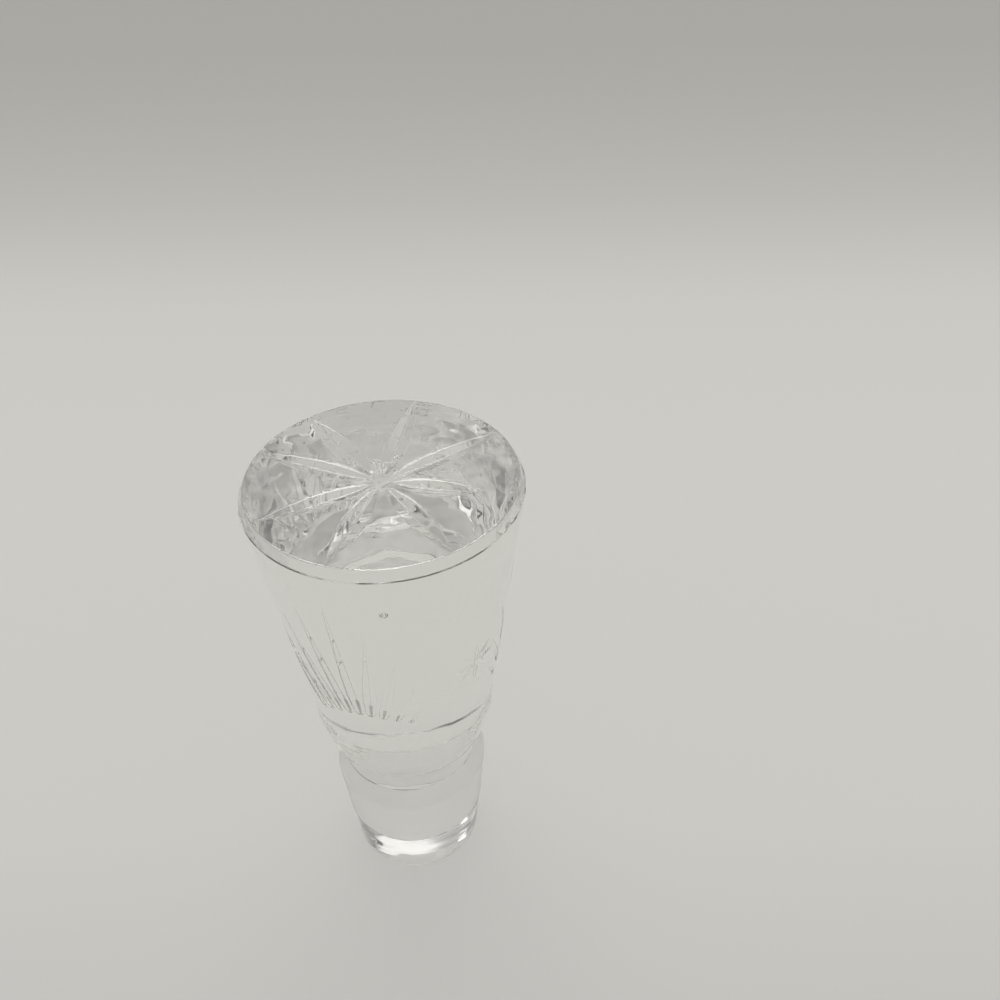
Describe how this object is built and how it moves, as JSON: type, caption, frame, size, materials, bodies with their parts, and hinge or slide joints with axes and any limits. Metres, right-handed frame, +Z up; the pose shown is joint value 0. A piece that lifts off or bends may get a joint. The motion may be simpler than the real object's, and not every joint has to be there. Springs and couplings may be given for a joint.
{
  "type": "glass stopper",
  "caption": "Solid clear cut-glass stopper: flared head with a star on its flat top and fans of cuts on its side, frosted taper shank.",
  "frame": {"origin": "centre of the flat foot that the stopper stands on", "axes": "+Z up the stopper's axis from the foot to the top face; the front faces -Y"},
  "size_m": [0.042, 0.042, 0.085],
  "materials": {
    "clear_glass": "clear, polished; the shank's taper and shoulder are ground to an even frost"
  },
  "bodies": {
    "root": {"stopper": "clear_glass"}
  },
  "joints": []
}
